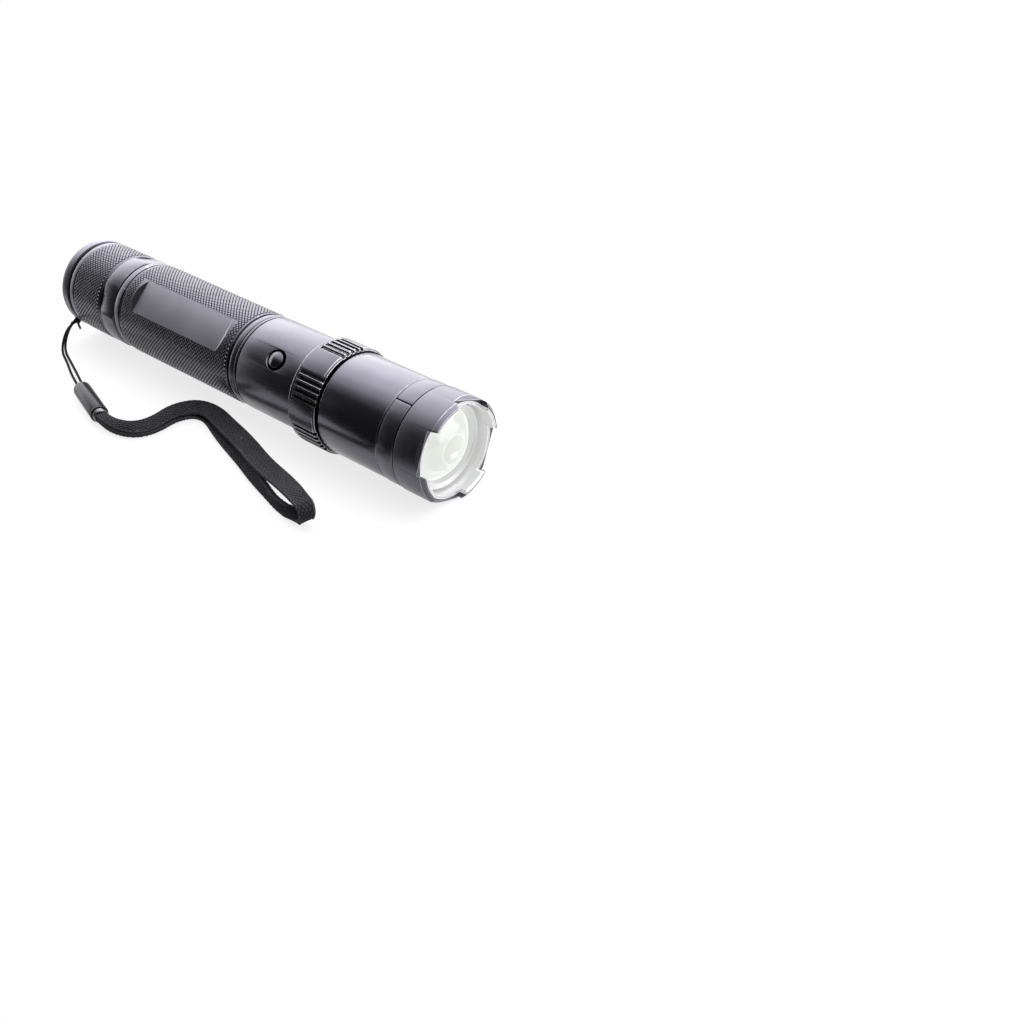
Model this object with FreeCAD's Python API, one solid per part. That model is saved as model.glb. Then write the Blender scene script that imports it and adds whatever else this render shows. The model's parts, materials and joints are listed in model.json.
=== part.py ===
"""Zoomable tactical flashlight with a wrist lanyard, lying on its side.

The tube's axis runs along X and the beam leaves towards +X. The origin is at the middle of the
tube's length, on the surface that the light lies on. Stations along the tube are counted in
millimetres from the tail face, and at() turns one into X. Angles round the tube are counted from
+Z towards +Y, seen from the front.
"""
import FreeCAD
import Part
import math
import os

os.makedirs("parts", exist_ok=True)
V = FreeCAD.Vector

# ---- driving dimensions, mm ----
LENGTH = 156.4          # tail face to the bezel's teeth
GRIP_R = 14.0           # over the knurling: a 28 mm tube
FOCUS_R = 15.5          # the largest radius, so the light rests on it
HOUSING_R = 13.9
HEAD_R = 14.6
BAND_R = 14.75
BEZEL_R = 14.95
TAIL_R = 13.9
AXIS_Z = FOCUS_R

# stations of the joints between the outer pieces
CAP_START = 3.7
CAP_END = 20.0
ANTI_ROLL_END = 26.8
TUBE_START = 27.2
TUBE_END = 80.1
HOUSING_START = 80.4
HOUSING_END = 105.8
FOCUS_START = 106.1
FOCUS_END = 116.7
HEAD_START = 117.0
BAND_START = 139.7
BAND_END = 145.3
BEZEL_START = 145.5

BORE_R = 11.0           # battery bore
NECK_R = 12.4           # both threaded necks of the battery tube
NECK_START = 8.6
NECK_END = 86.5
THREAD_PITCH = 1.5
THREAD_DEPTH = 0.45
TAIL_SEAL_S = 18.3      # the three O-ring seats
HOUSING_SEAL_S = 84.6
BEZEL_SEAL_S = 147.5

GRIP_START = 30.6       # the knurled length of the tube
GRIP_END = 78.9
GRIP_LIP_R = 13.75      # smooth bands at both ends of the knurling
GRIP_SEAM = 15.0        # the turned surface's own seam line, clear of the milled flat
FACE_ANGLE = -42.5      # the button and the milled flat face this way
FLAT_DEPTH = 1.0
FLAT_START = 36.0
FLAT_END = 74.0
FLAT_RAMP = 1.6
ROLL_FLAT_ANGLE = -66.0 # the first of the anti-roll ring's four flats
ROLL_FLAT_R = 13.2

BUTTON_S = 96.8
BUTTON_R = 2.75
BUTTON_HOLE_R = 3.15
BUTTON_EDGE_R = 13.3    # radius from the tube's axis to the edge and to the crown of the dome
BUTTON_CROWN_R = 14.15
BUTTON_FLANGE_R = 3.8
SWITCH_BASE = 5.1       # top of the switch board, from the tube's axis
SWITCH_TOP = 7.4

FOCUS_ANGLE = 90.0      # turn of the focus ring from spot to flood
RIB_GROUPS = 6
RIB_GAPS = 5            # grooves in each group
RIB_PITCH = 6.6
RIB_CENTRE = -55.5      # middle of the first group
RIB_START = 108.0
RIB_DEPTH = 0.75
RIB_GAP_WIDTH = 1.15
FOCUS_TRAVEL = 5.0      # the lens carrier's travel back for that turn
BARREL_R = 13.0         # the head tube's inner barrel, under the focus ring
CARRIER_R = 12.0
RUNNING = 0.1           # radial clearance of the sliding and turning fits
PIN_R = 0.9
PIN_S = 114.0           # the cam pins at rest, focused to a spot
PIN_ANGLES = (90, 270)

LENS_S = 147.4          # back face of the lens
LENS_R = 11.3
LENS_DOME_R = 10.2
LENS_CROWN = 5.0
CARRIER_START = 112.0
CARRIER_END = 151.2
BAND_SLIT_ANGLE = -26.0
BEZEL_BORE_R = 13.3
TRIM_R = 12.7           # inside of the polished ring that lines the bezel
SCALLOP_ANGLES = (23, 113, 203, 293)
SCALLOP_HALF = 6.2
SCALLOP_FLOOR = LENGTH - 2.2
SCALLOP_BEVEL = 1.1

CELL_R = 9.15
CELL_START = 13.6
CELL_END = 78.6
CELL_TIP = 1.5          # height of the positive cap
DRIVER_S = 86.9

CORD_D = 0.8
STRAP_WIDTH = 7.5
STRAP_LAYER = 1.5


# ---- helpers ----
def at(station):
    return station - LENGTH / 2


def around(angle):
    """Unit vector across the tube at an angle from +Z towards +Y."""
    a = math.radians(angle)
    return V(0, math.sin(a), math.cos(a))


def on_tube(station, angle, radius):
    return V(at(station), 0, AXIS_Z) + around(angle) * radius


def turned(outline):
    """Solid of revolution about the tube's axis from (station, radius) points."""
    points = [V(at(s), 0, AXIS_Z + r) for s, r in outline]
    face = Part.Face(Part.makePolygon(points + points[:1]))
    return face.revolve(V(0, 0, AXIS_Z), V(1, 0, 0), 360)


def ring(start, end, inner, outer, chamfer=0.0):
    """Tube between two stations, its outer edges chamfered."""
    if not chamfer:
        return turned([(start, inner), (start, outer), (end, outer), (end, inner)])
    shoulder = outer - chamfer
    return turned([
        (start, inner), (start, shoulder), (start + chamfer, outer), (end - chamfer, outer),
        (end, shoulder), (end, inner)])


def disc(start, end, radius):
    return Part.makeCylinder(radius, end - start, V(at(start), 0, AXIS_Z), V(1, 0, 0))


def o_ring(station, centre_r, section_r):
    return Part.makeTorus(centre_r, section_r, V(at(station), 0, AXIS_Z), V(1, 0, 0))


def radial(station, angle, radius, low, high):
    """Cylinder standing out of the tube's axis, from radius low to high."""
    return Part.makeCylinder(radius, high - low, on_tube(station, angle, low), around(angle))


def radial_box(station, angle, along, across, low, high):
    """Box standing out of the tube's axis: along X, across it, and from low to high."""
    box = Part.makeBox(along, across, high - low, V(-along / 2, -across / 2, low))
    box.rotate(V(0, 0, 0), V(1, 0, 0), -angle)
    box.translate(V(at(station), 0, AXIS_Z))
    return box


def axial_prism(start, end, angle, low, high, across):
    """Box along the tube between two stations."""
    return radial_box((start + end) / 2, angle, end - start, across, low, high)


def fused(shapes):
    return shapes[0].multiFuse(shapes[1:]).removeSplitter() if len(shapes) > 1 else shapes[0]


def thread_grooves(start, end, radius):
    """Annular grooves that stand in for a thread cut into a neck."""
    grooves = []
    mouth = THREAD_PITCH * 0.4
    root = THREAD_PITCH * 0.15
    floor = radius - THREAD_DEPTH
    station = start
    while station <= end:
        grooves.append(turned([
            (station - mouth, radius + 0.3), (station - root, floor),
            (station + root, floor), (station + mouth, radius + 0.3)]))
        station += THREAD_PITCH
    return Part.makeCompound(grooves)


def coil_spring(start, end, radius, wire_r, turns):
    """Helical spring along the tube's axis."""
    height = end - start - 2 * wire_r
    helix = Part.makeHelix(height / turns, height, radius)
    section = Part.Wire([Part.makeCircle(wire_r, V(radius, 0, 0), V(0, 1, 0))])
    spring = Part.Wire(helix).makePipeShell([section], True, True)
    spring.rotate(V(0, 0, 0), V(0, 1, 0), 90)
    spring.translate(V(at(start) + wire_r, 0, AXIS_Z))
    return spring


def rounded_route(points, name):
    """Straight runs joined by tangent arcs, each as large as its two runs allow."""
    edges = []
    radii = []
    last = points[0]
    for before, corner, after in zip(points, points[1:], points[2:]):
        back, ahead = (before - corner), (after - corner)
        reach = 0.45 * min(back.Length, ahead.Length)
        back.normalize()
        ahead.normalize()
        half_turn = (math.pi - back.getAngle(ahead)) / 2
        radii.append(reach / math.tan(half_turn))
        start, end = corner + back * reach, corner + ahead * reach
        bisector = back + ahead
        bisector.normalize()
        centre = corner + bisector * (radii[-1] / math.cos(half_turn))
        middle = centre - bisector * radii[-1]
        edges.append(Part.LineSegment(last, start).toShape())
        edges.append(Part.Arc(start, middle, end).toShape())
        last = end
    edges.append(Part.LineSegment(last, points[-1]).toShape())
    wire = Part.Wire(edges)
    print(name, "radii", [round(r, 1) for r in radii], "length", round(wire.Length, 1))
    return wire


def cord_tube(points, diameter, name):
    wire = rounded_route(points, name)
    section = Part.Wire([Part.makeCircle(diameter / 2, points[0], points[1] - points[0])])
    tube = wire.makePipeShell([section], True, False)
    swept = math.pi * diameter ** 2 / 4 * wire.Length
    print(name, "volume over section x length", round(tube.Volume / swept, 3))
    return tube


def export(name, shape):
    if not shape.isValid():
        print("INVALID", name)
    shape.exportStep("parts/" + name + ".step")


# ---- battery tube and its neighbours ----
def flat_cutter():
    """The milled flat: a box with ramped ends, laid on the grip."""
    floor = GRIP_R - FLAT_DEPTH
    rise = 2.0
    run = FLAT_RAMP * rise / FLAT_DEPTH
    half = 8.0
    side = [V(FLAT_START, 0, floor), V(FLAT_END, 0, floor), V(FLAT_END + run, 0, floor + rise),
            V(FLAT_START - run, 0, floor + rise)]
    cutter = Part.Face(Part.makePolygon(side + side[:1])).extrude(V(0, 2 * half, 0))
    cutter.translate(V(at(0), -half, 0))
    cutter.rotate(V(0, 0, 0), V(1, 0, 0), -FACE_ANGLE)
    cutter.translate(V(0, 0, AXIS_Z))
    return cutter


def battery_tube():
    """Knurled tube with a threaded neck at each end."""
    lip = GRIP_LIP_R
    groove = 13.3
    groove_start = 29.3
    groove_end = 29.8
    body = turned([
        (NECK_START, BORE_R), (NECK_START, NECK_R - 0.4), (NECK_START + 0.4, NECK_R),
        (TUBE_START, NECK_R), (TUBE_START, lip - 0.3), (TUBE_START + 0.3, lip),
        (groove_start, lip), (groove_start, groove), (groove_end, groove), (groove_end, lip),
        (GRIP_START - 0.3, lip), (GRIP_START, GRIP_R), (GRIP_END, GRIP_R), (GRIP_END + 0.3, lip),
        (TUBE_END - 0.7, lip), (TUBE_END - 0.7, groove), (TUBE_END, groove),
        (TUBE_END, NECK_R), (NECK_END, NECK_R), (NECK_END, BORE_R)])
    body.rotate(V(0, 0, AXIS_Z), V(1, 0, 0), -GRIP_SEAM)
    body = body.cut(flat_cutter())
    body = body.cut(thread_grooves(10.6, 16.4, NECK_R))
    for seat in (TAIL_SEAL_S, HOUSING_SEAL_S):
        body = body.cut(ring(seat - 0.6, seat + 0.6, 11.5, NECK_R + 0.5))
    return body


def anti_roll_ring():
    """Round ring with four milled flats, clamped by the tail cap."""
    body = ring(CAP_END + 0.35, ANTI_ROLL_END, NECK_R + 0.05, GRIP_R, 0.35)
    for quarter in range(4):
        angle = ROLL_FLAT_ANGLE + 90 * quarter
        body = body.cut(axial_prism(CAP_END, ANTI_ROLL_END + 1, angle, ROLL_FLAT_R, GRIP_R + 2, 14))
    return body


def switch_housing():
    """Smooth housing with two fine grooves at its back and the button's countersunk hole."""
    lip = GRIP_LIP_R
    groove = 13.25
    neck_seat = NECK_R + 0.05
    barrel_seat = BARREL_R + 0.05
    room = 11.6
    body = turned([
        (HOUSING_START, neck_seat), (HOUSING_START, lip), (82.0, lip), (82.0, groove),
        (82.4, groove), (82.4, lip + 0.05), (83.1, lip + 0.05), (83.1, groove + 0.2),
        (83.5, groove + 0.2), (83.8, HOUSING_R), (HOUSING_END - 0.6, HOUSING_R),
        (HOUSING_END, HOUSING_R - 0.6), (HOUSING_END, barrel_seat), (103.8, barrel_seat),
        (103.8, room), (NECK_END + 0.3, room), (NECK_END + 0.3, neck_seat)])
    hole = radial(BUTTON_S, FACE_ANGLE, BUTTON_HOLE_R, 9, 16)
    sink = 0.8
    mouth = on_tube(BUTTON_S, FACE_ANGLE, 13.55)
    rim = Part.makeCone(BUTTON_HOLE_R, BUTTON_HOLE_R + sink, sink, mouth, around(FACE_ANGLE))
    return body.cut(hole).cut(rim)


# ---- the side switch ----
def button_cap():
    """Domed cap with a flange that keeps it in the housing."""
    edge = BUTTON_EDGE_R
    crown = BUTTON_CROWN_R
    cap = radial(BUTTON_S, FACE_ANGLE, BUTTON_R, 10.0, edge)
    sagitta = crown - edge
    dome_r = (BUTTON_R ** 2 + sagitta ** 2) / (2 * sagitta)
    dome = Part.makeSphere(dome_r, on_tube(BUTTON_S, FACE_ANGLE, crown - dome_r))
    dome = dome.common(radial(BUTTON_S, FACE_ANGLE, BUTTON_R, edge - 0.1, crown + 1))
    flange = radial(BUTTON_S, FACE_ANGLE, BUTTON_FLANGE_R, 10.0, 10.7)
    stem = radial(BUTTON_S, FACE_ANGLE, 1.0, 9.3, 10.1)
    return fused([cap, dome, flange, stem])


def switch_carrier():
    """Moulded block that fills the housing and holds the switch board."""
    body = disc(88.6, 103.7, 11.3)
    pocket = axial_prism(90.6, 103.0, FACE_ANGLE, 4.0, 14, 10.6)
    lead_way = axial_prism(88.0, 105.5, FACE_ANGLE + 180, 3, 6, 3.4)
    return body.cut(pocket).cut(lead_way)


def switch_board():
    return radial_box(BUTTON_S, FACE_ANGLE, 11.6, 9.8, SWITCH_BASE - 1.0, SWITCH_BASE)


def tactile_switch():
    body = radial_box(BUTTON_S, FACE_ANGLE, 6.0, 6.0, SWITCH_BASE, SWITCH_TOP)
    plunger = radial(BUTTON_S, FACE_ANGLE, 1.2, SWITCH_TOP - 0.1, SWITCH_TOP + 0.8)
    return fused([body, plunger])


# ---- focus ring and lens carrier ----
def cam_slots():
    """A helical groove for each pin, cut by a row of round cutters that overlap."""
    steps = 22
    cutters = []
    for pin_angle in PIN_ANGLES:
        for i in range(-1, steps + 2):
            share = i / steps
            station = PIN_S - share * FOCUS_TRAVEL
            angle = pin_angle + share * FOCUS_ANGLE
            cutters.append(radial(station, angle, PIN_R + 0.35, BARREL_R - 0.3, 14.25))
    return fused(cutters)


def focus_ring():
    """Six groups of six ribs round the ring, with the cam grooves inside."""
    lip = 14.3
    body = turned([
        (FOCUS_START, BARREL_R + RUNNING), (FOCUS_START, lip), (FOCUS_START + 0.9, FOCUS_R),
        (FOCUS_END - 0.5, FOCUS_R), (FOCUS_END, FOCUS_R - 0.5), (FOCUS_END, BARREL_R + RUNNING)])
    floor = FOCUS_R - RIB_DEPTH
    for group in range(RIB_GROUPS):
        centre = RIB_CENTRE + 360 / RIB_GROUPS * group
        for gap in range(RIB_GAPS):
            angle = centre + (gap - (RIB_GAPS - 1) / 2) * RIB_PITCH
            body = body.cut(axial_prism(RIB_START, FOCUS_END + 1, angle, floor, FOCUS_R + 1, RIB_GAP_WIDTH))
    return body.cut(cam_slots())


def cam_pins():
    pins = [radial(PIN_S, angle, PIN_R, CARRIER_R - 0.6, 14.0) for angle in PIN_ANGLES]
    return Part.makeCompound(pins)


def lens_carrier():
    """Sleeve that slides in the head tube, with a seat for the lens."""
    body = turned([
        (CARRIER_START, 11.3), (CARRIER_START, CARRIER_R), (CARRIER_END, CARRIER_R),
        (CARRIER_END, LENS_R + 0.15), (LENS_S, LENS_R + 0.15), (LENS_S, 10.6),
        (LENS_S - 1.5, 10.6), (LENS_S - 3.0, 11.3)])
    for angle in PIN_ANGLES:
        body = body.cut(radial(PIN_S, angle, PIN_R, 10, 13))
    return body


def lens():
    """Plano-convex lens with a thin flange."""
    front = LENS_S + 1.8
    flange = disc(LENS_S, front, LENS_R)
    dome_r = (LENS_DOME_R ** 2 + LENS_CROWN ** 2) / (2 * LENS_CROWN)
    dome = Part.makeSphere(dome_r, V(at(front + LENS_CROWN - dome_r), 0, AXIS_Z))
    return flange.fuse(dome.common(disc(front - 0.1, front + LENS_CROWN + 1, LENS_DOME_R))).removeSplitter()


def lens_retaining_ring():
    return ring(LENS_S + 1.85, CARRIER_END, LENS_DOME_R + 0.15, LENS_R + 0.1)


def head_tube():
    """Inner barrel under the focus ring, the smooth head, and the neck for the band and bezel."""
    bore = CARRIER_R + RUNNING
    neck = 13.9
    barrel_start = 103.9
    neck_end = 147.0
    head_end = BAND_START - 0.1
    body = turned([
        (barrel_start, bore), (barrel_start, BARREL_R), (HEAD_START, BARREL_R), (HEAD_START, neck),
        (HEAD_START + 0.7, HEAD_R), (head_end - 0.4, HEAD_R), (head_end, HEAD_R - 0.4),
        (head_end, neck), (neck_end, neck), (neck_end, bore)])
    slot_r = PIN_R + RUNNING
    for angle in PIN_ANGLES:
        slot = axial_prism(PIN_S - FOCUS_TRAVEL, PIN_S, angle, 11, 13.5, 2 * slot_r)
        ends = [radial(s, angle, slot_r, 11, 13.5) for s in (PIN_S - FOCUS_TRAVEL, PIN_S)]
        body = body.cut(fused([slot] + ends))
    return body


def head_band():
    """Split collar between the head tube and the bezel."""
    body = ring(BAND_START + 0.1, BAND_END - 0.1, 13.95, BAND_R, 0.25)
    return body.cut(axial_prism(BAND_START - 1, BAND_END + 1, BAND_SLIT_ANGLE, 13, 16, 0.35))


def scallop_cutter(angle, floor):
    """Cuts one recess into the bezel's front edge, with a bevel towards the outside."""
    low = floor - SCALLOP_BEVEL
    side = [V(floor, 0, 11), V(floor, 0, 13.9), V(low, 0, 15.2), V(low, 0, 17),
            V(LENGTH + 2, 0, 17), V(LENGTH + 2, 0, 11)]
    cutter = Part.Face(Part.makePolygon(side + side[:1])).extrude(V(0, 2 * SCALLOP_HALF, 0))
    cutter.translate(V(at(0), -SCALLOP_HALF, 0))
    cutter.rotate(V(0, 0, 0), V(1, 0, 0), -angle)
    cutter.translate(V(0, 0, AXIS_Z))
    return cutter


def bezel():
    """Front ring with four scalloped recesses between blunt teeth."""
    seat = 13.95
    step = 148.0
    body = turned([
        (BEZEL_START, seat), (BEZEL_START, BEZEL_R - 0.4), (BEZEL_START + 0.4, BEZEL_R),
        (LENGTH - 1.1, BEZEL_R), (LENGTH, seat), (LENGTH, BEZEL_BORE_R), (step, BEZEL_BORE_R),
        (step, seat)])
    for angle in SCALLOP_ANGLES:
        body = body.cut(scallop_cutter(angle, SCALLOP_FLOOR))
    return body


def bezel_trim_ring():
    """Polished ring that lines the bezel and follows its scallops."""
    outer = BEZEL_BORE_R - 0.05
    start = 150.2
    body = turned([
        (start, TRIM_R), (start, outer), (LENGTH, outer), (LENGTH, TRIM_R + 0.3),
        (LENGTH - 0.3, TRIM_R)])
    for angle in SCALLOP_ANGLES:
        body = body.cut(scallop_cutter(angle, SCALLOP_FLOOR))
    return body


# ---- light engine ----
PILL_END = 118.5
LED_BASE = 120.0        # front of the emitter board
EMITTER_HEIGHT = 0.9


def led_pill():
    """Heat sink that is clamped by its flange behind the head tube's barrel."""
    flange_r = CARRIER_R + 0.05
    return turned([
        (104.9, 0), (104.9, flange_r), (106.5, flange_r), (106.5, 10.8), (PILL_END, 10.8), (PILL_END, 0)])


def led_board():
    return disc(PILL_END, LED_BASE, 8.0)


def led_emitter():
    front = LED_BASE + EMITTER_HEIGHT
    base = radial_box(LED_BASE + EMITTER_HEIGHT / 2, 0, EMITTER_HEIGHT, 5, -2.5, 2.5)
    dome = Part.makeSphere(1.7, V(at(front), 0, AXIS_Z)).common(disc(front - 0.1, 123, 3))
    return fused([base, dome])


def led_centring_ring():
    return ring(LED_BASE, LED_BASE + 1.4, 3.7, 8.0, 0.3)


def driver_board():
    return disc(DRIVER_S, DRIVER_S + 1.5, 11.2)


# ---- tail cap and lanyard ring ----
PLUG_HEAD_R = 11.0
PLUG_SHANK_R = 9.0


PLUG_FLANGE_END = 1.4
CAP_WALL_END = 5.3
RING_END = 3.3


def tail_cap():
    """Knurled cap with a chamfered back edge."""
    neck_bore = NECK_R + 0.25
    board_seat = 10.6
    back = CAP_START - 0.2
    return turned([
        (back, PLUG_SHANK_R), (back, 12.9), (4.2, 12.9), (4.2, 13.3), (5.0, TAIL_R), (6.5, TAIL_R),
        (6.8, GRIP_R), (CAP_END - 0.7, GRIP_R), (CAP_END - 0.4, TAIL_R - 0.2), (CAP_END, TAIL_R - 0.4),
        (CAP_END, neck_bore), (8.0, neck_bore), (8.0, board_seat), (CAP_WALL_END, board_seat),
        (CAP_WALL_END, PLUG_SHANK_R)])


def tail_plug():
    """Flanged plug that closes the cap and holds the lanyard ring."""
    back = 0.3
    return turned([
        (back, 0), (back, PLUG_HEAD_R - 0.3), (back + 0.3, PLUG_HEAD_R), (PLUG_FLANGE_END, PLUG_HEAD_R),
        (PLUG_FLANGE_END, PLUG_SHANK_R), (CAP_WALL_END, PLUG_SHANK_R), (CAP_WALL_END, 0)])


def tail_contact_board():
    return disc(CAP_WALL_END, CAP_WALL_END + 1.2, 10.5)


LANYARD_ANGLE = -128.0
LANYARD_S = 1.8


def lanyard_ring():
    """Rounded end ring that swivels on the plug, with the lanyard hole in its wall."""
    bore = PLUG_SHANK_R + RUNNING
    head_bore = PLUG_HEAD_R + 0.2
    step = PLUG_FLANGE_END + 0.1
    corner = 2.0
    lines = [(RING_END, bore), (step, bore), (step, head_bore), (0, head_bore), (0, TAIL_R - corner)]
    points = [V(at(s), 0, AXIS_Z + r) for s, r in lines]
    edges = [Part.LineSegment(a, b).toShape() for a, b in zip(points, points[1:])]
    diagonal = corner * (1 - math.sqrt(0.5))
    arc_end = V(at(corner), 0, AXIS_Z + TAIL_R)
    edges.append(Part.Arc(points[-1], V(at(diagonal), 0, AXIS_Z + TAIL_R - diagonal), arc_end).toShape())
    last = V(at(RING_END), 0, AXIS_Z + TAIL_R - 0.15)
    edges.append(Part.LineSegment(arc_end, last).toShape())
    edges.append(Part.LineSegment(last, points[0]).toShape())
    body = Part.Face(Part.Wire(edges)).revolve(V(0, 0, AXIS_Z), V(1, 0, 0), 360)
    return body.cut(radial(LANYARD_S, LANYARD_ANGLE, 1.0, 11.5, 15))


# ---- lanyard: two cord strands, barrel connector and doubled strap ----
def placed(station, across, height):
    return V(at(station), across, height)


STRAND_A = [placed(*p) for p in (
    (1.6, -11.9, 6.4), (2.6, -14.8, 6.4), (3.8, -17.6, 5.2), (4.8, -19.9, 2.7), (6.9, -21.8, 0.9),
    (12.3, -23.9, 0.5), (18.4, -26.9, 0.6), (25.2, -29.9, 1.6), (31.6, -32.6, 2.6))]
STRAND_B = [placed(*p) for p in (
    (2.1, -11.5, 7.1), (3.3, -14.2, 7.2), (4.6, -16.9, 6.0), (5.6, -19.2, 3.6), (7.7, -21.2, 1.4),
    (13.1, -23.2, 0.9), (19.3, -25.6, 0.7), (26.0, -28.6, 1.6), (31.9, -31.3, 2.6))]

CONNECTOR_START = placed(31.2, -31.9, 2.65)
CONNECTOR_WAY = V(0.950, -0.3122, 0)
CONNECTOR_R = 2.6
CONNECTOR_LENGTH = 18.8
FERRULE_R = 2.2
FERRULE_LENGTH = 1.7

STRAP_ROUTE = [
    (50.7, -38.3), (57.2, -39.2), (63.6, -36.6), (65.8, -30.2), (64.6, -22.8), (67.4, -17.0),
    (74.5, -16.0), (84.5, -19.2), (96.0, -22.4), (108.0, -26.6), (120.0, -29.4), (132.6, -33.0)]
LOOP_HEIGHT = 8.6
LOOP_BACK = 30.0


def lanyard_hitch():
    """Knot where the doubled cord is hitched through the lanyard hole."""
    way = around(LANYARD_ANGLE)
    peg = Part.makeCylinder(0.9, 3.0, on_tube(LANYARD_S, LANYARD_ANGLE, 11.7), way)
    knot = Part.makeSphere(1.2, on_tube(LANYARD_S, LANYARD_ANGLE, 14.4))
    return fused([peg, knot])


def lanyard_connector():
    body = Part.makeCylinder(CONNECTOR_R, CONNECTOR_LENGTH, CONNECTOR_START, CONNECTOR_WAY)
    return body.makeChamfer(0.9, [e for e in body.Edges if e.Curve.TypeId == "Part::GeomCircle"][:1])


def lanyard_ferrule():
    start = CONNECTOR_START + CONNECTOR_WAY * CONNECTOR_LENGTH
    return Part.makeCylinder(FERRULE_R, FERRULE_LENGTH, start, CONNECTOR_WAY)


def strap_loop():
    """The open end of the doubled strap, standing up as it turns back."""
    tip = placed(*STRAP_ROUTE[-1], 0)
    way = tip - placed(*STRAP_ROUTE[-2], 0)
    way.normalize()
    side = V(-way.y, way.x, 0)
    half = LOOP_HEIGHT / 2

    def on_side(u, z):
        return tip + way * u + V(0, 0, z)

    def outline(inset, back, rise):
        low, high, nose = inset, LOOP_HEIGHT - inset, -inset
        points = [
            on_side(-back, low), on_side(-half, low), on_side(-half, high), on_side(-12, high - 0.4),
            on_side(-back, rise)]
        arc = Part.Arc(points[1], on_side(nose, half), points[2]).toShape()
        edges = [Part.LineSegment(points[0], points[1]).toShape(), arc]
        edges += [Part.LineSegment(a, b).toShape() for a, b in zip(points[2:], points[3:] + points[:1])]
        return Part.Wire(edges)

    face = Part.Face([outline(0, LOOP_BACK, 2 * STRAP_LAYER), outline(STRAP_LAYER, 20.0, 4.0)])
    face.validate()
    loop = face.extrude(side * STRAP_WIDTH)
    loop.translate(side * (-STRAP_WIDTH / 2))
    return loop


def wrist_strap():
    """Both layers of the strap in one plain band, with its loop open at the far end."""
    points = [placed(s, y, STRAP_LAYER) for s, y in STRAP_ROUTE]
    stop = points[-1] - points[-2]
    points[-1] = points[-2] + stop * 0.2
    path = rounded_route(points, "strap")
    way = points[1] - points[0]
    way.normalize()
    across = V(-way.y, way.x, 0) * (STRAP_WIDTH / 2)
    up = V(0, 0, STRAP_LAYER)
    corners = [points[0] + across * x + up * z for x, z in ((-1, -1), (1, -1), (1, 1), (-1, 1))]
    band = path.makePipeShell([Part.makePolygon(corners + corners[:1])], True, False)
    return band.fuse(strap_loop()).removeSplitter()


# ---- output ----
PARTS = {
    "battery_tube": battery_tube(),
    "anti_roll_ring": anti_roll_ring(),
    "tail_o_ring": o_ring(TAIL_SEAL_S, 12.05, 0.45),
    "battery_sleeve": ring(14.0, 78.0, CELL_R + 0.2, BORE_R - 0.15),
    "battery_cell": disc(CELL_START, CELL_END, CELL_R),
    "battery_positive_cap": disc(CELL_END, CELL_END + CELL_TIP, 3.0),
    "switch_housing": switch_housing(),
    "housing_o_ring": o_ring(HOUSING_SEAL_S, 11.95, 0.42),
    "switch_carrier": switch_carrier(),
    "switch_board": switch_board(),
    "tactile_switch": tactile_switch(),
    "driver_board": driver_board(),
    "driver_spring": coil_spring(CELL_END + CELL_TIP, DRIVER_S, 2.6, 0.35, 4),
    "led_pill": led_pill(),
    "led_board": led_board(),
    "led_emitter": led_emitter(),
    "led_centring_ring": led_centring_ring(),
    "head_tube": head_tube(),
    "head_band": head_band(),
    "bezel": bezel(),
    "bezel_trim_ring": bezel_trim_ring(),
    "bezel_o_ring": o_ring(BEZEL_SEAL_S, 12.9, 0.42),
    "button_cap": button_cap(),
    "focus_ring": focus_ring(),
    "lens_carrier": lens_carrier(),
    "lens": lens(),
    "lens_retaining_ring": lens_retaining_ring(),
    "cam_pins": cam_pins(),
    "tail_cap": tail_cap(),
    "tail_plug": tail_plug(),
    "tail_contact_board": tail_contact_board(),
    "tail_spring": coil_spring(CAP_WALL_END + 1.2, CELL_START, 4.2, 0.5, 4),
    "lanyard_ring": lanyard_ring(),
    "lanyard_hitch": lanyard_hitch(),
    "lanyard_strand_a": cord_tube(STRAND_A, CORD_D, "strand a"),
    "lanyard_strand_b": cord_tube(STRAND_B, CORD_D, "strand b"),
    "lanyard_connector": lanyard_connector(),
    "lanyard_ferrule": lanyard_ferrule(),
    "wrist_strap": wrist_strap(),
}
for name, shape in PARTS.items():
    export(name, shape)
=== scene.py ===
"""Looks of the tactical flashlight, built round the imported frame. Metres, row frame, beam towards +X."""
import bmesh
import bpy
import json
import math
import numpy as np
from mathutils import Matrix, Vector

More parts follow.
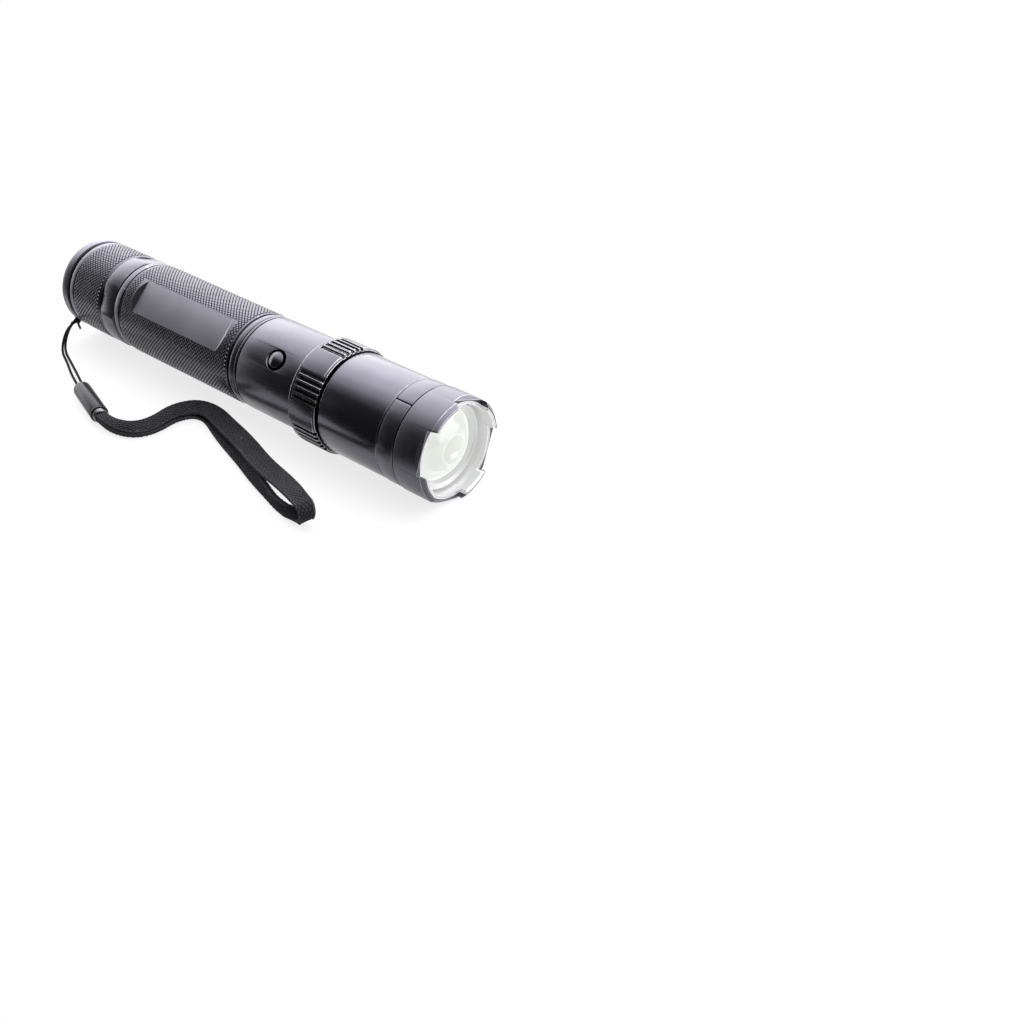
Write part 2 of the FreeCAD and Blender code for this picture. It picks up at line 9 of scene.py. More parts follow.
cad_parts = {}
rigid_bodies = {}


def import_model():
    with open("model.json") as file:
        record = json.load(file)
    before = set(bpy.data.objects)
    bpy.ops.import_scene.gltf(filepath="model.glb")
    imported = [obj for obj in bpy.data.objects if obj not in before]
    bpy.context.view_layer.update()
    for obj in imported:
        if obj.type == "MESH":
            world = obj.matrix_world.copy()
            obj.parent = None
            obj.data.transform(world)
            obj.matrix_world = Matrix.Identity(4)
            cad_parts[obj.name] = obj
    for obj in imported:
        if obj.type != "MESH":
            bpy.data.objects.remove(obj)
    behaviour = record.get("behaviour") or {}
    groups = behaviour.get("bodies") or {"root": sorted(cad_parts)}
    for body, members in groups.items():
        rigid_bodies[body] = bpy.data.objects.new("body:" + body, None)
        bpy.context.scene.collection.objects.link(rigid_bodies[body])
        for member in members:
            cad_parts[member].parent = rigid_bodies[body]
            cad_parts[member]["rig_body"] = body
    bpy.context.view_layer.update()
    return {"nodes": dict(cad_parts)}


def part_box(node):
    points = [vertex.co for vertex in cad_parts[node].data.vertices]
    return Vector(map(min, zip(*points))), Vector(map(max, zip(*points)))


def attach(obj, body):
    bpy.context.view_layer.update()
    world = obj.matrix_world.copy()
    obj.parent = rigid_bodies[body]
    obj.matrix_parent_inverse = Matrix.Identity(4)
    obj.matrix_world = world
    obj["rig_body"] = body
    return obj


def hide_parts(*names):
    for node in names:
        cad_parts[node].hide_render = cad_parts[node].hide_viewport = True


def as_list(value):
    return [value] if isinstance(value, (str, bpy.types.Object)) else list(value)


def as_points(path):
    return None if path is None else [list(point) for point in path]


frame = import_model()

NODES = frame["nodes"]
MM = 0.001

# ---- where the frame says things are ----
TAIL_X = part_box("lanyard_ring")[0].x
FOCUS_LOW, FOCUS_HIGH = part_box("focus_ring")
AXIS = Vector((0.0, 0.0, (FOCUS_LOW.z + FOCUS_HIGH.z) / 2))
FACE_ANGLE = -42.5      # the button and the milled flat face this way, from +Z towards +Y
LANYARD_ANGLE = -128.0  # the lanyard hole faces this way
LANYARD_STATION = 1.8

# ---- turned outlines: stations from the tail face and radii, all in millimetres ----
GRIP_R = 14.0
LIP_R = 13.75
GROOVE_R = 13.3
NECK_R = 12.4
SEAL_R = 11.6
BORE_R = 11.0
THREAD_R = 11.95
THREAD_AT = (10.6, 12.1, 13.6, 15.1)
THREAD_HALF = 0.45      # half of a thread groove's width at the surface; half of that at its floor
FLAT_R = 13.0
FLAT_START, FLAT_END = 36.0, 74.0
TAIL_R = 13.95


def at(station):
    """X of a station in millimetres from the tail face."""
    return TAIL_X + station * MM


def around(angle):
    """Unit vector square to the torch's axis, at an angle from +Z towards +Y."""
    a = math.radians(angle)
    return Vector((0.0, math.sin(a), math.cos(a)))


def on_axis(station):
    return Vector((at(station), 0, AXIS.z))


def on_tube(station, angle, radius):
    return on_axis(station) + around(angle) * radius * MM


# ---- camera ----
def make_camera():
    azimuth, elevation, distance = math.radians(39.9), math.radians(36.06), 0.316
    aim = Vector((0.1046, -0.0115, AXIS.z))
    back = Vector((math.sin(azimuth) * math.cos(elevation), -math.cos(azimuth) * math.cos(elevation),
                   math.sin(elevation)))
    data = bpy.data.cameras.new("camera")
    data.lens, data.sensor_width = 45.70, 36.0
    data.clip_start, data.clip_end = 0.01, 50.0
    camera = bpy.data.objects.new("camera", data)
    camera.location = aim + back * distance
    camera.rotation_mode = "QUATERNION"
    camera.rotation_quaternion = (-back).to_track_quat("-Z", "Y")
    bpy.context.scene.collection.objects.link(camera)
    bpy.context.scene.camera = camera


make_camera()


# ---- mesh helpers ----
def new_object(name, mesh):
    obj = bpy.data.objects.new(name, mesh)
    bpy.context.scene.collection.objects.link(obj)
    return obj


def mesh_object(name, points, faces, sharp=30.0):
    mesh = bpy.data.meshes.new(name)
    mesh.from_pydata([tuple(p) for p in points], [], faces)
    mesh.validate()
    mesh.update()
    obj = new_object(name, mesh)
    shade(obj, sharp)
    return obj


def shade(obj, sharp):
    mesh = obj.data
    mesh.polygons.foreach_set("use_smooth", [True] * len(mesh.polygons))
    mesh.set_sharp_from_angle(angle=math.radians(sharp))


def apply_modifiers(obj):
    graph = bpy.context.evaluated_depsgraph_get()
    done = bpy.data.meshes.new_from_object(obj.evaluated_get(graph))
    old = obj.data
    obj.modifiers.clear()
    obj.data = done
    bpy.data.meshes.remove(old)


def recalculated(obj):
    """Turns every face outwards."""
    b = bmesh.new()
    b.from_mesh(obj.data)
    bmesh.ops.recalc_face_normals(b, faces=b.faces)
    b.to_mesh(obj.data)
    b.free()
    return obj


def cut(obj, cutter):
    """Takes the cutter's shape out of the object and removes the cutter."""
    tool = obj.modifiers.new("cut", "BOOLEAN")
    tool.operation, tool.object, tool.solver = "DIFFERENCE", cutter, "EXACT"
    apply_modifiers(obj)
    mesh = cutter.data
    bpy.data.objects.remove(cutter)
    bpy.data.meshes.remove(mesh)


def bevel(obj, width):
    """Rounds the sharp edges by a width in millimetres; the new faces take the second material."""
    while len(obj.data.materials) < 2:
        obj.data.materials.append(None)
    edge = obj.modifiers.new("bevel", "BEVEL")
    edge.material = 1
    edge.width, edge.segments = width * MM, 2
    edge.limit_method, edge.angle_limit = "ANGLE", math.radians(32.0)
    edge.use_clamp_overlap = False
    edge.miter_outer = "MITER_ARC"
    apply_modifiers(obj)


def softened(node, width):
    """A CAD node's shape again, with its sharp edges rounded."""
    mesh = NODES[node].data.copy()
    mesh.name = node + "_finished"
    b = bmesh.new()
    b.from_mesh(mesh)
    bmesh.ops.remove_doubles(b, verts=b.verts, dist=2e-6)
    bmesh.ops.dissolve_limit(b, angle_limit=math.radians(0.4), verts=b.verts, edges=b.edges)
    b.to_mesh(mesh)
    b.free()
    if mesh.attributes.get("custom_normal"):
        mesh.attributes.remove(mesh.attributes["custom_normal"])
    obj = new_object(node + "_finished", mesh)
    bevel(obj, width)
    shade(obj, 34.0)
    return obj


def stand_for(obj, look, *nodes):
    """Gives a piece its material and body, and hides the nodes that it stands for."""
    if look:
        looks = look if isinstance(look, list) else [look, look]
        marks = [p.material_index for p in obj.data.polygons]
        obj.data.materials.clear()
        for each in looks[:max(marks) + 1]:
            obj.data.materials.append(each)
        obj.data.polygons.foreach_set("material_index", marks)
    first = NODES[nodes[0]]
    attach(obj, first["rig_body"])
    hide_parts(*nodes)


def turned(name, outline, segments, spot):
    """Closed ring from an outline of pairs; spot places a pair at a step of the turn."""
    points = [spot(first, second, k) for k in range(segments) for first, second in outline]
    faces = []
    count = len(outline)
    for k in range(segments):
        low, high = k * count, (k + 1) % segments * count
        for i in range(count):
            j = (i + 1) % count
            faces.append((low + i, low + j, high + j, high + i))
    return recalculated(mesh_object(name, points, faces))


def tube_faces(rows, ring):
    """Quads between the rows of points round a tube."""
    return [(i * ring + c, i * ring + (c + 1) % ring, (i + 1) * ring + (c + 1) % ring, (i + 1) * ring + c)
            for i in range(rows - 1) for c in range(ring)]


# ---- curves that the cords follow ----
def along(points, step):
    """Points about a step apart on the route's NURBS spline, and the route's length."""
    curve = bpy.data.curves.new("route", "CURVE")
    curve.dimensions = "3D"
    curve.resolution_u = 24
    spline = curve.splines.new("NURBS")
    spline.points.add(len(points) - 1)
    for place, p in zip(spline.points, points):
        place.co = (*p, 1)
    spline.order_u = 3
    spline.use_endpoint_u = True
    holder = bpy.data.objects.new("route", curve)
    mesh = bpy.data.meshes.new_from_object(holder)
    line = np.array([v.co for v in mesh.vertices])
    bpy.data.objects.remove(holder)
    bpy.data.curves.remove(curve)
    bpy.data.meshes.remove(mesh)
    lengths = np.concatenate([[0], np.cumsum(np.linalg.norm(np.diff(line, axis=0), axis=1))])
    count = max(4, int(lengths[-1] / step))
    marks = np.linspace(0, lengths[-1], count + 1)
    return np.column_stack([np.interp(marks, lengths, line[:, i]) for i in range(3)]), lengths[-1]


def frames(line):
    """Direction, side and up vectors along a line, carried without twist."""
    ways = np.gradient(line, axis=0)
    ways /= np.linalg.norm(ways, axis=1)[:, None]
    side = np.cross(ways[0], [0, 0, 1.0])
    sides = np.empty_like(ways)
    for i, way in enumerate(ways):
        side = side - way * side.dot(way)
        side /= np.linalg.norm(side)
        sides[i] = side
    return ways, sides, np.cross(sides, ways)


def swept(line, radius, sides, shape):
    """Points and faces of a round cord with closed ends; shape(distance, angle) scales its radius."""
    ways, across, up = frames(line)
    spans = np.concatenate([[0], np.cumsum(np.linalg.norm(np.diff(line, axis=0), axis=1))])
    points = []
    for i, p in enumerate(line):
        for k in range(sides):
            a = 2 * math.pi * k / sides
            r = radius * shape(spans[i], a)
            points.append(p + across[i] * math.cos(a) * r + up[i] * math.sin(a) * r)
    faces = tube_faces(len(line), sides)
    last = (len(line) - 1) * sides
    points.append(line[0] - ways[0] * radius * 0.4)
    points.append(line[-1] + ways[-1] * radius * 0.4)
    for k in range(sides):
        n = (k + 1) % sides
        faces += [(n, k, len(points) - 2), (last + k, last + n, len(points) - 1)]
    return points, faces


# ---- materials: sizes in millimetres ----
BLACK = (0.100, 0.098, 0.114)
EDGE = (0.36, 0.355, 0.38)
# painted shade for the surfaces nearer the axis than the knurl: threaded necks and the cap's inside
PAINTED_RECESS_SHADE = (0.035, 0.035, 0.039)
PAINTED_LAMP_LIGHT = (0.95, 0.96, 0.93)       # colour of the painted light: the beam's light on what it falls on and the emitter's image in the lens


def tinted(colour, share):
    return tuple(c * share for c in colour)


def material(name):
    made = bpy.data.materials.new(name)
    made.use_nodes = True
    nodes, links = made.node_tree.nodes, made.node_tree.links
    shader = nodes["Principled BSDF"]
    place = nodes.new("ShaderNodeTexCoord")
    return made, nodes, links, shader, place.outputs["Object"]


def noise(nodes, links, place, size, detail=2.0, stretch=None, rough=0.5):
    """Noise whose grain is about size millimetres; stretch makes it longer along some axes."""
    if stretch:
        mapping = nodes.new("ShaderNodeMapping")
        mapping.inputs["Scale"].default_value = stretch
        links.new(place, mapping.inputs["Vector"])
        place = mapping.outputs["Vector"]
    made = nodes.new("ShaderNodeTexNoise")
    made.inputs["Scale"].default_value = 1 / (size * MM)
    made.inputs["Detail"].default_value = detail
    made.inputs["Roughness"].default_value = rough
    links.new(place, made.inputs["Vector"])
    return made.outputs["Fac"]


def spread(nodes, links, value, low, high, start=0.3, end=0.7):
    """Maps a value from start to end onto low to high."""
    made = nodes.new("ShaderNodeMapRange")
    made.inputs["From Min"].default_value = start
    made.inputs["From Max"].default_value = end
    made.inputs["To Min"].default_value = low
    made.inputs["To Max"].default_value = high
    links.new(value, made.inputs["Value"])
    return made.outputs["Result"]


def mixed(nodes, links, share, first, second):
    """Blend of two colours, each a tuple or a socket."""
    made = nodes.new("ShaderNodeMix")
    made.data_type = "RGBA"
    links.new(share, made.inputs["Factor"])
    for socket, value in ((made.inputs[6], first), (made.inputs[7], second)):
        if isinstance(value, tuple):
            socket.default_value = (*value, 1)
        else:
            links.new(value, socket)
    return made.outputs[2]


def calculated(nodes, links, operation, *values):
    """Result of a Math node whose values are numbers or sockets."""
    made = nodes.new("ShaderNodeMath")
    made.operation = operation
    for socket, value in zip(made.inputs, values):
        if isinstance(value, float):
            socket.default_value = value
        else:
            links.new(value, socket)
    return made.outputs[0]


def bumped(nodes, links, shader, layers):
    """Chains bump nodes: each layer is (height, depth in millimetres, strength)."""
    normal = None
    for height, depth, strength in layers:
        made = nodes.new("ShaderNodeBump")
        made.inputs["Distance"].default_value = depth * MM
        made.inputs["Strength"].default_value = strength
        links.new(height, made.inputs["Height"])
        if normal:
            links.new(normal, made.inputs["Normal"])
        normal = made.outputs["Normal"]
    links.new(normal, shader.inputs["Normal"])


def worn(nodes, links, low, high):
    """Share of edge wear: the convex edges of a dense mesh."""
    made = nodes.new("ShaderNodeNewGeometry")
    return spread(nodes, links, made.outputs["Pointiness"], 0.0, 1.0, low, high)


def radius_of(nodes, links, place):
    """Distance from the torch's axis, in metres."""
    shifted = nodes.new("ShaderNodeVectorMath")
    shifted.operation = "MULTIPLY_ADD"
    shifted.inputs[1].default_value = (0, 1, 1)
    shifted.inputs[2].default_value = (0, 0, -AXIS.z)
    links.new(place, shifted.inputs[0])
    length = nodes.new("ShaderNodeVectorMath")
    length.operation = "LENGTH"
    links.new(shifted.outputs[0], length.inputs[0])
    return length.outputs["Value"]


def anodised(name, colour, rough, marks=None, wear=None, streaks=None, painted_depth_shading=None, painted_beam_glow=None):
    """Anodised aluminium with a fine grain.

    marks and streaks are the widths of lathe marks round the axis and milling marks along it, wear
    is the range of pointiness over which edges turn pale, and a (radius, colour) pair paints surfaces
    nearer the axis than the radius: painted shade in recesses such as threaded necks and the focus
    ring's grooves, painted light on the bezel's inside wall, to which the emission strength adds more painted
    light.
    """
    made, nodes, links, shader, place = material(name)
    shader.inputs["Metallic"].default_value = 1.0
    cloud = noise(nodes, links, place, 9.0, 3.0)
    fine = noise(nodes, links, place, 0.16, 2.0)
    tone = spread(nodes, links, cloud, 0.0, 1.0)
    base = mixed(nodes, links, tone, tinted(colour, 0.93), tinted(colour, 1.07))
    if wear:
        base = mixed(nodes, links, worn(nodes, links, *wear), base, EDGE)
    if painted_depth_shading:
        limit, painted_inner_colour = painted_depth_shading
        # surfaces nearer the axis than the limit take a painted colour: painted shade in recesses, painted
        # light in the bezel
        painted_inner_share = spread(nodes, links, radius_of(nodes, links, place), 1.0, 0.0,
                       (limit - 0.12) * MM, (limit + 0.12) * MM)
        base = mixed(nodes, links, painted_inner_share, base, painted_inner_colour)
        # painted light: these surfaces also emit the beam's colour
        if painted_beam_glow:
            shader.inputs["Emission Color"].default_value = (*PAINTED_LAMP_LIGHT, 1)
            links.new(calculated(nodes, links, "MULTIPLY", painted_inner_share, painted_beam_glow), shader.inputs["Emission Strength"])
    links.new(base, shader.inputs["Base Color"])
    smear = noise(nodes, links, place, 3.0, 4.0, stretch=(0.35, 1, 1))
    roughness = calculated(nodes, links, "ADD", spread(nodes, links, smear, rough - 0.03, rough + 0.03),
                           spread(nodes, links, fine, -0.03, 0.03))
    links.new(roughness, shader.inputs["Roughness"])
    layers = [(fine, 0.002, 0.5)]
    if marks:
        lathed = noise(nodes, links, place, marks, 1.0, stretch=(1, 0.004, 0.004))
        layers.append((lathed, 0.0012, 0.6))
    if streaks:
        milled = noise(nodes, links, place, streaks, 2.0, stretch=(0.012, 1, 1))
        layers.append((milled, 0.01, 1.0))
    bumped(nodes, links, shader, layers)
    return made


def metal(name, colour, rough, painted_beam_glow=0.0):
    """Bare or plated metal with lathe marks; its emission strength is painted light of the beam on it."""
    made, nodes, links, shader, place = material(name)
    shader.inputs["Emission Color"].default_value = (*PAINTED_LAMP_LIGHT, 1)
    shader.inputs["Emission Strength"].default_value = painted_beam_glow
    shader.inputs["Metallic"].default_value = 1.0
    cloud = noise(nodes, links, place, 4.0, 3.0)
    base = mixed(nodes, links, spread(nodes, links, cloud, 0, 1), tinted(colour, 0.93), colour)
    links.new(base, shader.inputs["Base Color"])
    links.new(spread(nodes, links, noise(nodes, links, place, 0.8, 3.0), rough * 0.8, rough * 1.25),
              shader.inputs["Roughness"])
    lathed = noise(nodes, links, place, 0.25, 2.0, stretch=(1, 0.05, 0.05))
    bumped(nodes, links, shader, [(lathed, 0.0015, 0.6)])
    return made


def moulded(name, colour, rough, grain=0.2, speck=0.12, gloss=0.5):
    """Moulded plastic or rubber; speck is how far its colour varies."""
    made, nodes, links, shader, place = material(name)
    shader.inputs["Specular IOR Level"].default_value = gloss
    cloud = noise(nodes, links, place, 2.5, 3.0)
    base = mixed(nodes, links, spread(nodes, links, cloud, 0, 1),
                 tinted(colour, 1 - speck), tinted(colour, 1 + speck))
    links.new(base, shader.inputs["Base Color"])
    fine = noise(nodes, links, place, grain, 2.0)
    links.new(spread(nodes, links, fine, rough - 0.05, rough + 0.06), shader.inputs["Roughness"])
    bumped(nodes, links, shader, [(fine, 0.006, 0.7)])
    return made


def edge_highlight_and_wear(name, colour, rough=0.3):
    """The rounded edges of a turned piece, painted paler as a highlight along the edge and rubbed paler in
    patches of wear.
    """
    made, nodes, links, shader, place = material(name)
    shader.inputs["Metallic"].default_value = 1.0
    rubbed = noise(nodes, links, place, 1.6, 4.0, rough=0.65)
    base = mixed(nodes, links, spread(nodes, links, rubbed, 0, 1, 0.38, 0.62),
                 tinted(colour, 0.72), tinted(colour, 1.25))
    links.new(base, shader.inputs["Base Color"])
    fine = noise(nodes, links, place, 0.12, 2.0)
    links.new(spread(nodes, links, fine, rough - 0.04, rough + 0.06), shader.inputs["Roughness"])
    bumped(nodes, links, shader, [(fine, 0.003, 0.5)])
    return made


def woven(name, dark, light, grain, sheen):
    """Nylon yarn: fine filaments over the modelled braid, their pale specks painted highlights."""
    made, nodes, links, shader, place = material(name)
    shader.inputs["Sheen Weight"].default_value = sheen
    shader.inputs["Sheen Roughness"].default_value = 0.4
    shader.inputs["Specular IOR Level"].default_value = 0.06
    fibre = noise(nodes, links, place, grain, 3.0, rough=0.7)
    cloud = noise(nodes, links, place, 5.0, 2.0)
    # pale fibre specks: painted highlights
    high = spread(nodes, links, fibre, 0, 1, 0.42, 0.66)
    base = mixed(nodes, links, high, dark, light)
    base = mixed(nodes, links, spread(nodes, links, cloud, 0, 0.35), base, dark)
    base = mixed(nodes, links, worn(nodes, links, 0.52, 0.60), base, light)
    links.new(base, shader.inputs["Base Color"])
    links.new(spread(nodes, links, fibre, 0.67, 0.83), shader.inputs["Roughness"])
    bumped(nodes, links, shader, [(fibre, 0.03, 0.8)])
    return made


def lens_material():
    """Clear dome, its emission painting the light behind it: a painted image of the emitter and a painted
    ring show in its middle, and it is painted brighter towards its rim.
    """
    made, nodes, links, shader, place = material("clear_lens")
    shader.inputs["Base Color"].default_value = (0.10, 0.10, 0.10, 1)
    shader.inputs["Transmission Weight"].default_value = 0.12
    shader.inputs["IOR"].default_value = 1.49
    parts = nodes.new("ShaderNodeSeparateXYZ")
    links.new(place, parts.inputs[0])
    distance = radius_of(nodes, links, place)
    rim = spread(nodes, links, distance, 0.0, 1.0, 7.0 * MM, 12.0 * MM)
    disc = spread(nodes, links, distance, 1.0, 0.0, 4.3 * MM, 4.5 * MM)
    core = spread(nodes, links, distance, 1.0, 0.0, 3.9 * MM, 4.1 * MM)
    # the emitter's painted image: its middle and half size in Y, then in Z
    spot = calculated(
        nodes, links, "MULTIPLY",
        calculated(nodes, links, "COMPARE", parts.outputs["Y"], -0.6 * MM, 1.2 * MM),
        calculated(nodes, links, "COMPARE", parts.outputs["Z"], AXIS.z - 1.2 * MM, 0.7 * MM))
    tone = mixed(nodes, links, rim, (0.60, 0.63, 0.58), (0.76, 0.77, 0.74))
    tone = mixed(nodes, links, disc, tone, (0.70, 0.72, 0.67))
    tone = mixed(nodes, links, core, tone, (0.57, 0.60, 0.54))
    tone = mixed(nodes, links, spot, tone, PAINTED_LAMP_LIGHT)
    links.new(tone, shader.inputs["Emission Color"])
    shader.inputs["Emission Strength"].default_value = 0.98
    dust = noise(nodes, links, place, 0.5, 3.0)
    links.new(spread(nodes, links, dust, 0.02, 0.06, 0.45, 0.75), shader.inputs["Roughness"])
    bumped(nodes, links, shader, [(noise(nodes, links, place, 2.2, 1.0), 0.004, 0.4)])
    return made


def phosphor():
    """The emitter's lit phosphor."""
    made, nodes, links, shader, place = material("lit_phosphor")
    shader.inputs["Roughness"].default_value = 0.3
    cell = noise(nodes, links, place, 0.3, 2.0)
    links.new(mixed(nodes, links, spread(nodes, links, cell, 0, 1), (1, 0.93, 0.72), (1, 0.98, 0.88)),
              shader.inputs["Base Color"])
    shader.inputs["Emission Color"].default_value = (1, 1, 0.97, 1)
    shader.inputs["Emission Strength"].default_value = 3.0
    return made


LOOKS = {
    # threaded necks and the cap's inside, nearer the axis than 13 mm, are painted dark as shade
    "anodised_knurl": anodised("anodised_knurl_look", BLACK, 0.32, wear=(0.58, 0.75), painted_depth_shading=(13.0, PAINTED_RECESS_SHADE)),
    "anodised_black": anodised("anodised_black_look", BLACK, 0.29, marks=0.11),
    "anodised_gloss": anodised("anodised_gloss_look", BLACK, 0.22, marks=0.09),
    "button_metal": anodised("button_metal_look", (0.075, 0.073, 0.084), 0.24),
    # the trim ring emits a little: painted light of the beam
    "polished_trim": metal("polished_trim_look", (0.42, 0.42, 0.43), 0.36, painted_beam_glow=0.32),
    "nickel": metal("nickel_look", (0.72, 0.70, 0.66), 0.2),
    "spring_steel": metal("spring_steel_look", (0.62, 0.62, 0.63), 0.25),
    "brass_pill": metal("brass_pill_look", (0.80, 0.62, 0.30), 0.28),
    "lens_glass": lens_material(),
    "led_phosphor": phosphor(),
    "circuit_board": moulded("circuit_board_look", (0.05, 0.2, 0.1), 0.45),
    "moulded_plastic": moulded("moulded_plastic_look", (0.05, 0.05, 0.055), 0.5),
    "white_plastic": moulded("white_plastic_look", (0.88, 0.88, 0.86), 0.45, speck=0.04),
    "cell_wrap": moulded("cell_wrap_look", (0.08, 0.2, 0.5), 0.3),
    "seal_rubber": moulded("seal_rubber_look", (0.02, 0.02, 0.02), 0.6),
    "lanyard_cord": woven("lanyard_cord_look", (0.003, 0.003, 0.0035), (0.02, 0.02, 0.023), 0.12, sheen=0.01),
    "connector_plastic": moulded("connector_plastic_look", (0.012, 0.0115, 0.014), 0.3, grain=0.14,
                                 gloss=0.22),
    "webbing": woven("webbing_look", (0.0025, 0.0025, 0.003), (0.062, 0.062, 0.070), 0.16, sheen=0.01),
}
MILLED = anodised("milled_flat_look", (0.175, 0.172, 0.195), 0.52, streaks=0.14)
# the rear ramp's colour is painted shade
PAINTED_SHADE_RAMP = anodised("milled_ramp_painted_shade_look", (0.05, 0.049, 0.056), 0.28, streaks=0.14)
# the front ramp's colour is a painted highlight
PAINTED_HIGHLIGHT_RAMP = anodised("milled_front_ramp_painted_highlight_look", (0.30, 0.295, 0.315), 0.45, streaks=0.14)
STITCH = woven("edge_stitch_look", (0.02, 0.02, 0.023), (0.11, 0.11, 0.12), 0.1, sheen=0.02)
TAIL_RIM = anodised("tail_rim_look", (0.16, 0.157, 0.177), 0.42, marks=0.09)
# the focus ring's groove floors are painted darker as shade
RIBBED = anodised("ribbed_ring_look", (0.085, 0.083, 0.097), 0.27, painted_depth_shading=(15.1, (0.025, 0.025, 0.028)))
# the bezel's inside wall is painted pale and emits: painted light of the beam
BEZEL = anodised("bezel_look", BLACK, 0.36, marks=0.11, painted_depth_shading=(13.6, (0.45, 0.45, 0.46)), painted_beam_glow=0.5)
# the lens carrier emits: painted light of the beam
CARRIER = metal("lens_carrier_look", (0.3, 0.3, 0.31), 0.4, painted_beam_glow=0.5)
FERRULE = metal("ferrule_look", (0.15, 0.147, 0.157), 0.3)
# the edge colours are painted highlights along the rounded edges, with patches of wear
SOFT_EDGE = edge_highlight_and_wear("soft_edge_look", (0.15, 0.147, 0.165))
BRIGHT_EDGE = edge_highlight_and_wear("bright_edge_look", (0.42, 0.415, 0.43), 0.24)
BEZEL_EDGE = edge_highlight_and_wear("bezel_edge_look", (0.3, 0.295, 0.31), 0.26)
TRIM_EDGE = edge_highlight_and_wear("trim_edge_look", (0.85, 0.85, 0.86), 0.15)

# ---- lanyard cord: two braided strands ----
STRAND_A = [(at(s), y * MM, z * MM) for s, y, z in (
    (1.6, -11.9, 6.4), (2.6, -14.8, 6.4), (3.8, -17.6, 5.2), (4.8, -19.9, 2.7), (6.9, -21.8, 0.9),
    (12.3, -23.9, 0.5), (18.4, -26.9, 0.6), (25.2, -29.9, 1.6), (31.6, -32.6, 2.6))]
STRAND_B = [(at(s), y * MM, z * MM) for s, y, z in (
    (2.1, -11.5, 7.1), (3.3, -14.2, 7.2), (4.6, -16.9, 6.0), (5.6, -19.2, 3.6), (7.7, -21.2, 1.4),
    (13.1, -23.2, 0.9), (19.3, -25.6, 0.7), (26.0, -28.6, 1.6), (31.9, -31.3, 2.6))]
CORD_D = 0.8 * MM
BRAID_PITCH = 0.62 * MM
YARNS = 4


def crossing(u, v):
    """Places across and along the yarn that is on top at a point of a braid, 0 to 1 each."""
    first, second = (u + v) % 1, (u - v) % 1
    over = (math.floor(u + v) + math.floor(u - v)) % 2
    return (first, second) if over else (second, first)


def braid(depth):
    """Radius scale of a round braid whose yarns cross each other."""
    def scale(distance, angle):
        crown, bow = crossing(YARNS * angle / (2 * math.pi), distance / BRAID_PITCH)
        return 1 - depth + depth * (1 - (2 * crown - 1) ** 2) ** 0.5 * (0.55 + 0.45 * math.sin(math.pi * bow))
    return scale


def strand(name, route, node):
    line, length = along([Vector(p) for p in route], 0.09 * MM)
    points, faces = swept(line, CORD_D / 2, 16, braid(0.22))
    obj = mesh_object(name, points, faces, 60)
    stand_for(obj, LOOKS["lanyard_cord"], node)
    return obj, line, length


strand_a, line_a, length_a = strand("cord_strand_a", STRAND_A, "lanyard_strand_a")
strand_b, line_b, length_b = strand("cord_strand_b", STRAND_B, "lanyard_strand_b")

# ---- barrel connector and ferrule ----
CONNECTOR_START = Vector((at(31.2), -31.9 * MM, 2.65 * MM))
CONNECTOR_WAY = Vector((0.950, -0.3122, 0)).normalized()


def barrel(name, outline, edge):
    """Body turned about the connector's own axis from (distance, radius) pairs, with rounded edges."""
    segments = 64
    side = CONNECTOR_WAY.cross(Vector((0, 0, 1)))

    def spot(distance, radius, k):
        a = 2 * math.pi * k / segments
        turn = side * math.cos(a) + Vector((0, 0, 1)) * math.sin(a)
        return CONNECTOR_START + CONNECTOR_WAY * distance * MM + turn * radius * MM

    obj = turned(name, outline, segments, spot)
    bevel(obj, edge)
    shade(obj, 40)
    return obj


connector = barrel("connector_barrel", [
    (1.2, 0.75), (-0.1, 0.75), (-0.15, 1.15), (0.1, 1.4), (1.7, 2.42), (2.2, 2.58), (2.6, 2.62),
    (17.7, 2.62), (17.8, 2.5), (18.0, 2.5), (18.1, 2.66), (18.7, 2.66), (18.85, 2.5), (18.85, 2.25),
    (17.0, 2.22), (17.0, 0.75)], 0.12)
stand_for(connector, LOOKS["connector_plastic"], "lanyard_connector")
ferrule = barrel("connector_ferrule", [
    (17.2, 1.5), (17.2, 2.2), (19.9, 2.2), (20.2, 2.05), (20.35, 1.85), (20.3, 1.6), (19.6, 1.5)], 0.06)
stand_for(ferrule, FERRULE, "lanyard_ferrule")


# ---- hitch knot at the lanyard hole ----
def hitch():
    """Loops of the cord drawn tight round its own strands, with two short free ends."""
    way, side = around(LANYARD_ANGLE), Vector((1, 0, 0))
    up = way.cross(side)
    middle = on_tube(LANYARD_STATION, LANYARD_ANGLE, 14.5)
    points, faces = [], []

    def add(route):
        line, _ = along(route, 0.12 * MM)
        p, f = swept(line, 0.36 * MM, 12, braid(0.2))
        base = len(points)
        points.extend(p)
        faces.extend(tuple(base + i for i in face) for face in f)

    coil_steps, per_turn, coil_height, coil_radius = 21, 8, 1.5, 0.82
    coil = []
    for k in range(coil_steps + 1):
        a = 2 * math.pi * k / per_turn
        lift = (-coil_height / 2 + coil_height * k / coil_steps) * MM
        coil.append(middle + way * lift + (side * math.cos(a) + up * math.sin(a)) * coil_radius * MM)
    add(coil)
    for sign, reach in ((1, 1.9), (-1, 1.5)):
        add([middle + side * sign * 0.5 * MM, middle + (side * sign * 1.0 + way * 0.7) * MM,
             middle + (side * sign * 1.9 + way * 1.1 + Vector((0, 0, -0.3))) * MM,
             middle + (side * sign * (1.6 + reach * 0.5) + way * 1.2 + Vector((0, 0, -0.5 * reach))) * MM])
    return mesh_object("hitch_knot", points, faces, 60)


knot = hitch()
stand_for(knot, LOOKS["lanyard_cord"], "lanyard_hitch")

